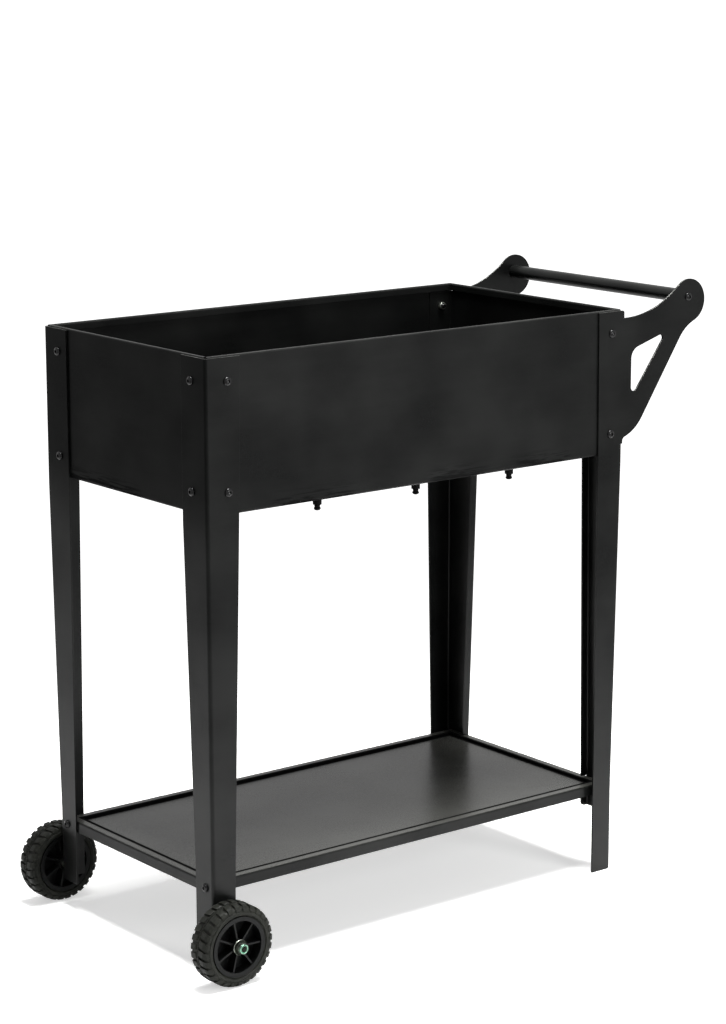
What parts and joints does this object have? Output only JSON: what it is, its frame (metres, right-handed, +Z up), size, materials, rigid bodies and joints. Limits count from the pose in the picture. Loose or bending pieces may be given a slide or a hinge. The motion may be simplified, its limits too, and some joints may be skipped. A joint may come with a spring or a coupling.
{
  "type": "raised garden planter on wheels",
  "caption": "Deep rectangular steel trough on four folded legs, with a tray shelf near the floor, two wheels at one end and a tube handle between two windowed arms at the other.",
  "frame": {"origin": "On the floor, under the middle of the whole outline in X and Y. Z is up.", "axes": "X runs along the trough, wheels at -X and handle at +X. Y runs across it, with the drains near the -Y side. Z is up from the floor."},
  "size_m": [0.89, 0.4654, 0.834],
  "materials": {
    "black_powder_coat": "fine satin powder coat on folded sheet steel",
    "black_bolts": "black-coated domed screws, satin",
    "zinc_plate": "bright zinc plate",
    "black_plastic": "moulded black plastic, low sheen",
    "tyre_rubber": "solid black rubber tyre, slightly dusty",
    "green_nylon": "dyed nylon locking ring",
    "seal_rubber": "soft black sealing ring"
  },
  "bodies": {
    "frame": {"panel_front": "black_powder_coat", "panel_back": "black_powder_coat", "panel_wheel_end": "black_powder_coat", "panel_handle_end": "black_powder_coat", "trough_floor": "black_powder_coat", "leg_front_wheel": "black_powder_coat", "leg_back_wheel": "black_powder_coat", "leg_front_handle": "black_powder_coat", "leg_back_handle": "black_powder_coat", "shelf": "black_powder_coat", "handle_tube": "black_powder_coat", "handle_plugs": "black_plastic", "handle_bolts": "black_bolts", "trough_bolts": "black_bolts", "trough_nuts": "zinc_plate", "shelf_bolts": "black_bolts", "shelf_nuts": "zinc_plate", "axle_bolts": "zinc_plate", "axle_spacers": "zinc_plate", "axle_washers": "zinc_plate", "axle_nuts": "zinc_plate", "axle_lock_rings": "green_nylon", "drain_fittings": "black_plastic", "drain_gaskets": "seal_rubber", "drain_nuts": "black_plastic"},
    "wheel_front": {"hub_front": "black_plastic", "tyre_front": "tyre_rubber"},
    "wheel_back": {"hub_back": "black_plastic", "tyre_back": "tyre_rubber"},
    "cap_1": {"drain_cap_1": "black_plastic"},
    "cap_2": {"drain_cap_2": "black_plastic"},
    "cap_3": {"drain_cap_3": "black_plastic"}
  },
  "joints": [
    {"name": "wheel_front_spin", "type": "hinge", "parent": "frame", "child": "wheel_front", "pos_m": [-0.391, -0.205, 0.054], "axis": [0, 1, 0], "continuous": true},
    {"name": "wheel_back_spin", "type": "hinge", "parent": "frame", "child": "wheel_back", "pos_m": [-0.391, 0.205, 0.054], "axis": [0, 1, 0], "continuous": true},
    {"name": "drain_cap_1_pull", "type": "slide", "parent": "frame", "child": "cap_1", "axis": [0, 0, -1], "range_m": [0, 0.03]},
    {"name": "drain_cap_2_pull", "type": "slide", "parent": "frame", "child": "cap_2", "axis": [0, 0, -1], "range_m": [0, 0.03]},
    {"name": "drain_cap_3_pull", "type": "slide", "parent": "frame", "child": "cap_3", "axis": [0, 0, -1], "range_m": [0, 0.03]}
  ]
}
